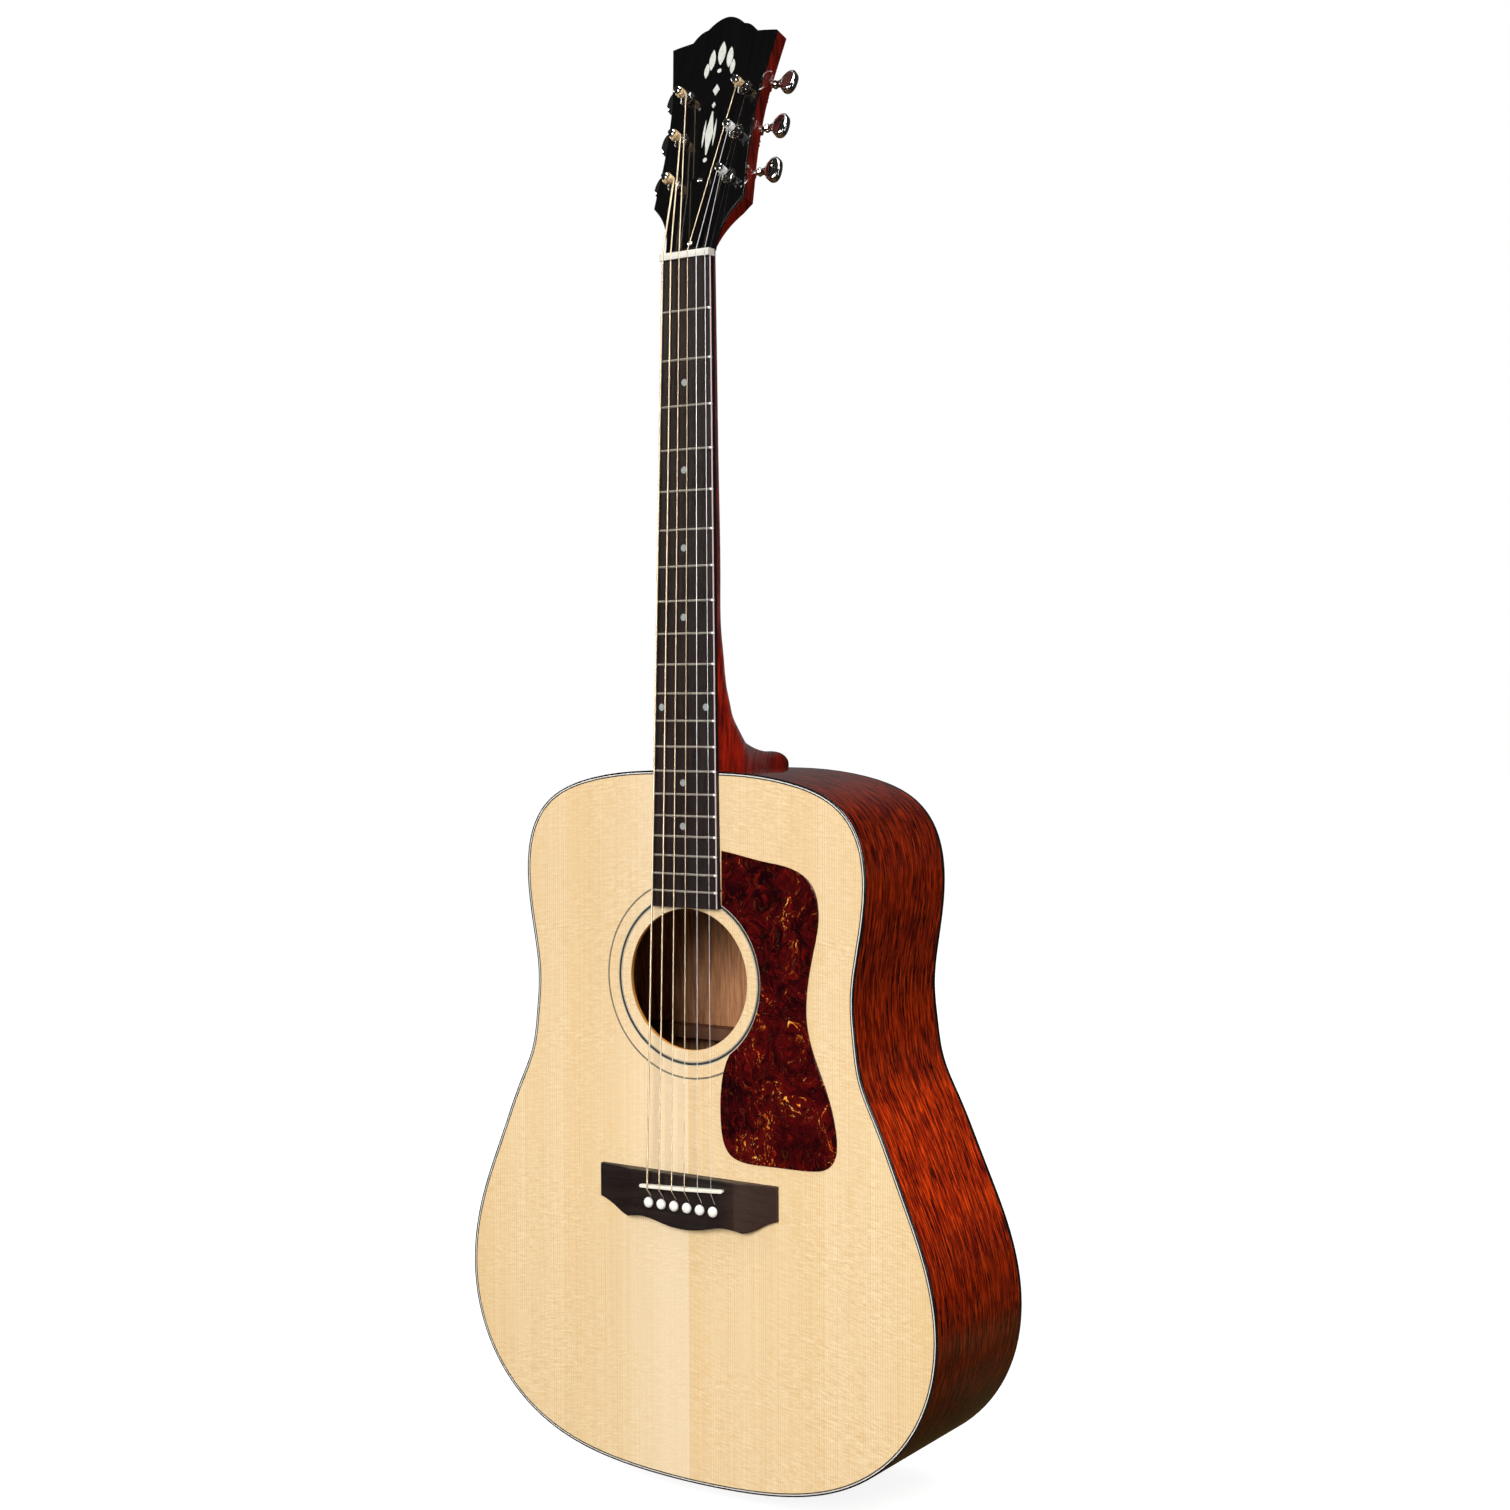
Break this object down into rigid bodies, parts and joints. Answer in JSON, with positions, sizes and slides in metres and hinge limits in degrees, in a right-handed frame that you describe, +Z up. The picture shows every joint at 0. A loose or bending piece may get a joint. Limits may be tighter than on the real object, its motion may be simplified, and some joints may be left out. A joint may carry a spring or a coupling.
{
  "type": "acoustic guitar",
  "caption": "Steel-string acoustic guitar with a wide flat-top body, red-brown back and sides, geared tuning machines and a pinned bridge.",
  "frame": {"origin": "on the strap button's axis, where it meets the tail of the body", "axes": "+Z up the neck to the head, -Y out of the soundboard towards the listener, +X to the treble side"},
  "size_m": [0.4008, 0.1453, 1.0647],
  "materials": {
    "spruce_top": "gloss",
    "mahogany": "gloss",
    "raw_wood": "matt",
    "rosewood": "satin",
    "black_binding": "gloss",
    "white_line": "satin",
    "tortoise": "gloss",
    "bone": "polished",
    "pearl": "polished",
    "black_veneer": "gloss",
    "nickel": "polished",
    "fret_metal": "polished",
    "bronze_string": "wound",
    "plain_string": "polished",
    "steel": "plain",
    "cream_plastic": "gloss",
    "black_plastic": "gloss"
  },
  "bodies": {
    "instrument": {"top_bass_half": "spruce_top", "top_treble_half": "spruce_top", "side_bass": "mahogany", "side_treble": "mahogany", "back_bass_half": "mahogany", "back_treble_half": "mahogany", "neck": "mahogany", "back_center_strip": "raw_wood", "neck_block": "raw_wood", "tail_block": "raw_wood", "linings": "raw_wood", "top_braces": "raw_wood", "back_braces": "raw_wood", "bridge_plate": "raw_wood", "bridge": "rosewood", "fingerboard": "rosewood", "top_binding": "black_binding", "back_binding": "black_binding", "end_graft": "black_binding", "heel_cap": "black_binding", "top_purfling": "white_line", "rosette": "white_line", "pickguard": "tortoise", "saddle": "bone", "nut": "bone", "fret_markers": "pearl", "head_inlay": "pearl", "head_veneer": "black_veneer", "frets": "fret_metal", "truss_rod_cover": "black_plastic", "strap_button": "black_plastic", "small_screws": "nickel", "tuner_housings": "nickel", "tuner_bushings": "nickel", "truss_rod": "steel", "string_1": "plain_string", "string_2": "plain_string", "string_3": "bronze_string", "string_4": "bronze_string", "string_5": "bronze_string", "string_6": "bronze_string"},
    "button_1": {"tuner_button_1": "nickel"},
    "post_1": {"tuner_post_1": "nickel"},
    "pin_1": {"bridge_pin_1": "cream_plastic"},
    "button_2": {"tuner_button_2": "nickel"},
    "post_2": {"tuner_post_2": "nickel"},
    "pin_2": {"bridge_pin_2": "cream_plastic"},
    "button_3": {"tuner_button_3": "nickel"},
    "post_3": {"tuner_post_3": "nickel"},
    "pin_3": {"bridge_pin_3": "cream_plastic"},
    "button_4": {"tuner_button_4": "nickel"},
    "post_4": {"tuner_post_4": "nickel"},
    "pin_4": {"bridge_pin_4": "cream_plastic"},
    "button_5": {"tuner_button_5": "nickel"},
    "post_5": {"tuner_post_5": "nickel"},
    "pin_5": {"bridge_pin_5": "cream_plastic"},
    "button_6": {"tuner_button_6": "nickel"},
    "post_6": {"tuner_post_6": "nickel"},
    "pin_6": {"bridge_pin_6": "cream_plastic"},
    "rod_nut": {"truss_rod_nut": "steel"}
  },
  "joints": [
    {"name": "button_turn_1", "type": "hinge", "parent": "instrument", "child": "button_1", "pos_m": [0.0234, -0.02445, 0.93247], "axis": [1, 0, 0], "continuous": true},
    {"name": "post_turn_1", "type": "hinge", "parent": "instrument", "child": "post_1", "pos_m": [0.0234, -0.02712, 0.92284], "axis": [0, -0.9636, 0.2672], "continuous": true},
    {"name": "button_turn_2", "type": "hinge", "parent": "instrument", "child": "button_2", "pos_m": [0.0238, -0.01536, 0.96524], "axis": [1, 0, 0], "continuous": true},
    {"name": "post_turn_2", "type": "hinge", "parent": "instrument", "child": "post_2", "pos_m": [0.0238, -0.01804, 0.9556], "axis": [0, -0.9636, 0.2672], "continuous": true},
    {"name": "button_turn_3", "type": "hinge", "parent": "instrument", "child": "button_3", "pos_m": [0.025, -0.00628, 0.998], "axis": [1, 0, 0], "continuous": true},
    {"name": "post_turn_3", "type": "hinge", "parent": "instrument", "child": "post_3", "pos_m": [0.025, -0.00895, 0.98836], "axis": [0, -0.9636, 0.2672], "continuous": true},
    {"name": "button_turn_4", "type": "hinge", "parent": "instrument", "child": "button_4", "pos_m": [-0.025, -0.00628, 0.998], "axis": [1, 0, 0], "continuous": true},
    {"name": "post_turn_4", "type": "hinge", "parent": "instrument", "child": "post_4", "pos_m": [-0.025, -0.00895, 0.98836], "axis": [0, -0.9636, 0.2672], "continuous": true},
    {"name": "button_turn_5", "type": "hinge", "parent": "instrument", "child": "button_5", "pos_m": [-0.0238, -0.01536, 0.96524], "axis": [1, 0, 0], "continuous": true},
    {"name": "post_turn_5", "type": "hinge", "parent": "instrument", "child": "post_5", "pos_m": [-0.0238, -0.01804, 0.9556], "axis": [0, -0.9636, 0.2672], "continuous": true},
    {"name": "button_turn_6", "type": "hinge", "parent": "instrument", "child": "button_6", "pos_m": [-0.0234, -0.02445, 0.93247], "axis": [1, 0, 0], "continuous": true},
    {"name": "post_turn_6", "type": "hinge", "parent": "instrument", "child": "post_6", "pos_m": [-0.0234, -0.02712, 0.92284], "axis": [0, -0.9636, 0.2672], "continuous": true},
    {"name": "pin_pull_1", "type": "slide", "parent": "instrument", "child": "pin_1", "axis": [0, -1, 0], "range_m": [0, 0.024]},
    {"name": "pin_pull_2", "type": "slide", "parent": "instrument", "child": "pin_2", "axis": [0, -1, 0], "range_m": [0, 0.024]},
    {"name": "pin_pull_3", "type": "slide", "parent": "instrument", "child": "pin_3", "axis": [0, -1, 0], "range_m": [0, 0.024]},
    {"name": "pin_pull_4", "type": "slide", "parent": "instrument", "child": "pin_4", "axis": [0, -1, 0], "range_m": [0, 0.024]},
    {"name": "pin_pull_5", "type": "slide", "parent": "instrument", "child": "pin_5", "axis": [0, -1, 0], "range_m": [0, 0.024]},
    {"name": "pin_pull_6", "type": "slide", "parent": "instrument", "child": "pin_6", "axis": [0, -1, 0], "range_m": [0, 0.024]},
    {"name": "rod_nut_turn", "type": "hinge", "parent": "instrument", "child": "rod_nut", "pos_m": [0, -0.05059, 0.8883], "axis": [0, 0.0133, 0.9999], "range_deg": [-180, 180]}
  ],
  "couplings": [
    {"joint": "post_turn_1", "follows": "button_turn_1", "ratio": 0.071429},
    {"joint": "post_turn_2", "follows": "button_turn_2", "ratio": 0.071429},
    {"joint": "post_turn_3", "follows": "button_turn_3", "ratio": 0.071429},
    {"joint": "post_turn_4", "follows": "button_turn_4", "ratio": -0.071429},
    {"joint": "post_turn_5", "follows": "button_turn_5", "ratio": -0.071429},
    {"joint": "post_turn_6", "follows": "button_turn_6", "ratio": -0.071429}
  ]
}
